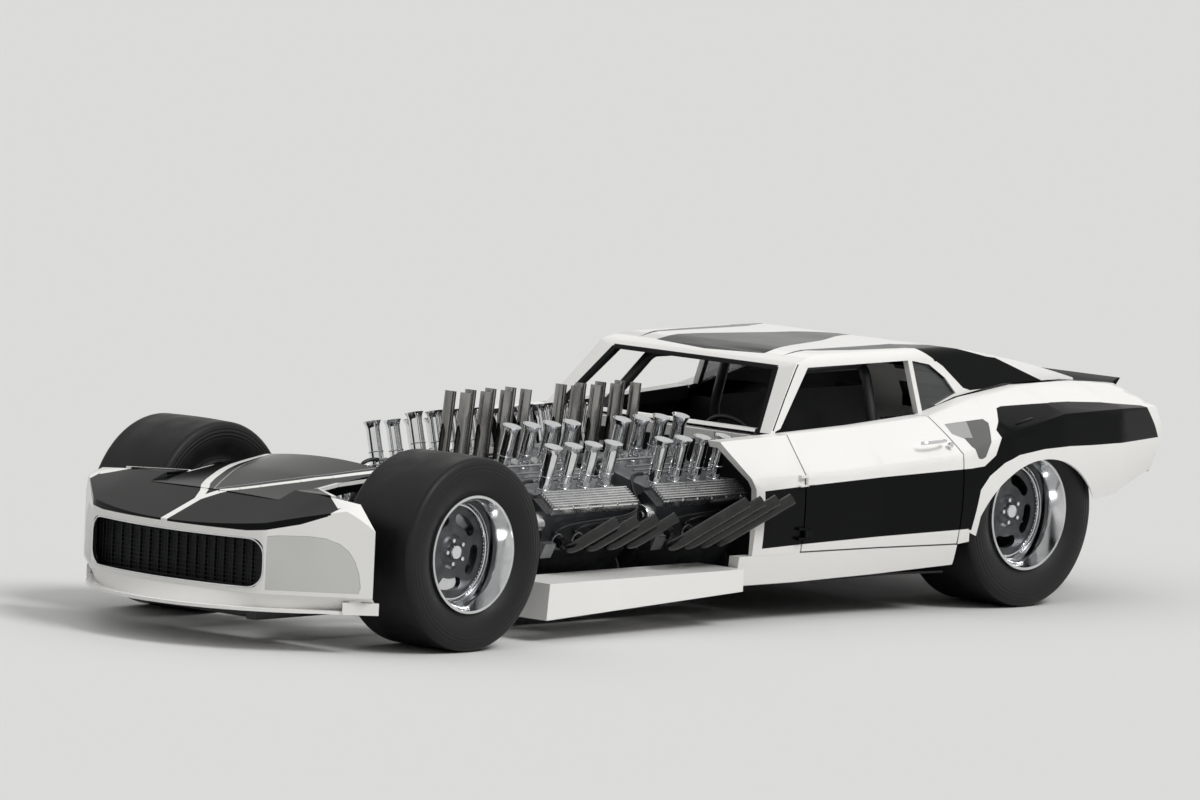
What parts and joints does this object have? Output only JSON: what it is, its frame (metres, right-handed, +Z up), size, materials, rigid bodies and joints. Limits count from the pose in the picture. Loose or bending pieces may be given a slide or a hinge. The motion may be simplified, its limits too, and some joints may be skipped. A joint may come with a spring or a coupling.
{
  "type": "four-engined drag racing car",
  "caption": "Low fastback drag racing car with four canted vee engines ahead of the cabin, flared intake stacks, wide slick tyres and opening doors.",
  "frame": {"origin": "on the ground under the middle of the wheelbase, on the centre line", "axes": "+X forward, +Y to the car's left, +Z up"},
  "size_m": [4.92, 1.7638, 1.01],
  "materials": {
    "body_white": "gloss",
    "body_black": "gloss",
    "tyre_rubber": "matte",
    "polished_alloy": "polished",
    "engine_metal": "satin",
    "stack_alloy": "polished",
    "header_black": "matte",
    "exhaust_steel": "dull",
    "chassis_steel": "satin",
    "axle_iron": "satin",
    "cabin_black": "matte",
    "seat_vinyl": "satin",
    "wheel_grip": "gloss",
    "window_glass": "clear"
  },
  "bodies": {
    "body": {"chin_spoiler": "body_white", "cowl": "body_white", "dash": "cabin_black", "deck_lid": "body_black", "drive_front": "chassis_steel", "drive_rear": "chassis_steel", "driver_seat": "seat_vinyl", "engine_front_left": "engine_metal", "engine_front_right": "engine_metal", "engine_rear_left": "engine_metal", "engine_rear_right": "engine_metal", "firewall": "cabin_black", "floor_pan": "cabin_black", "frame_rails": "chassis_steel", "front_axle": "axle_iron", "grille": "body_black", "hood": "body_white", "injection_front_left": "stack_alloy", "injection_front_right": "stack_alloy", "injection_rear_left": "stack_alloy", "injection_rear_right": "stack_alloy", "inner_exhausts": "exhaust_steel", "nose_shell": "body_white", "outer_headers_left": "header_black", "outer_headers_right": "header_black", "quarter_left": "body_white", "quarter_right": "body_white", "quarter_windows": "window_glass", "rear_axle": "axle_iron", "rear_window": "window_glass", "roll_cage": "chassis_steel", "roof": "body_white", "side_pod_left": "body_white", "side_pod_right": "body_white", "tail_panel": "body_white"},
    "steering_wheel": {"steering_wheel": "wheel_grip"},
    "track_rod": {"track_rod": "chassis_steel"},
    "knuckle_left": {"knuckle_left": "chassis_steel"},
    "knuckle_right": {"knuckle_right": "chassis_steel"},
    "door_left": {"door_left": "body_white"},
    "door_right": {"door_right": "body_white"},
    "wheel_front_left": {"wheel_front_left": "polished_alloy", "tyre_front_left": "tyre_rubber"},
    "wheel_front_right": {"wheel_front_right": "polished_alloy", "tyre_front_right": "tyre_rubber"},
    "wheel_rear_left": {"wheel_rear_left": "polished_alloy", "tyre_rear_left": "tyre_rubber"},
    "wheel_rear_right": {"wheel_rear_right": "polished_alloy", "tyre_rear_right": "tyre_rubber"}
  },
  "joints": [
    {"name": "steer_left", "type": "hinge", "parent": "body", "child": "knuckle_left", "pos_m": [1.5765, 0.547, 0.364], "axis": [0, 0, 1], "range_deg": [-15, 15]},
    {"name": "steer_right", "type": "hinge", "parent": "body", "child": "knuckle_right", "pos_m": [1.5765, -0.547, 0.364], "axis": [0, 0, 1], "range_deg": [-15, 15]},
    {"name": "track_rod_slide", "type": "slide", "parent": "body", "child": "track_rod", "axis": [0, 1, 0], "range_m": [-0.0341, 0.0341]},
    {"name": "steering_wheel_turn", "type": "hinge", "parent": "body", "child": "steering_wheel", "pos_m": [-0.64, 0.12, 0.56], "axis": [-0.9272, 0, 0.3746], "range_deg": [-150.5, 150.5]},
    {"name": "door_left_hinge", "type": "hinge", "parent": "body", "child": "door_left", "pos_m": [-0.347, 0.757, 0.44], "axis": [0, 0, -1], "range_deg": [0, 65]},
    {"name": "door_right_hinge", "type": "hinge", "parent": "body", "child": "door_right", "pos_m": [-0.347, -0.757, 0.44], "axis": [0, 0, 1], "range_deg": [0, 65]},
    {"name": "spin_front_left", "type": "hinge", "parent": "knuckle_left", "child": "wheel_front_left", "pos_m": [1.5765, 0.6575, 0.364], "axis": [0, 1, 0], "continuous": true},
    {"name": "spin_front_right", "type": "hinge", "parent": "knuckle_right", "child": "wheel_front_right", "pos_m": [1.5765, -0.6575, 0.364], "axis": [0, 1, 0], "continuous": true},
    {"name": "spin_rear_left", "type": "hinge", "parent": "body", "child": "wheel_rear_left", "pos_m": [-1.5765, 0.6575, 0.364], "axis": [0, 1, 0], "continuous": true},
    {"name": "spin_rear_right", "type": "hinge", "parent": "body", "child": "wheel_rear_right", "pos_m": [-1.5765, -0.6575, 0.364], "axis": [0, 1, 0], "continuous": true}
  ],
  "couplings": [
    {"joint": "steer_right", "follows": "steer_left", "ratio": 1},
    {"joint": "track_rod_slide", "follows": "steer_left", "m_per_rad": 0.13},
    {"joint": "steering_wheel_turn", "follows": "steer_left", "ratio": 10}
  ]
}
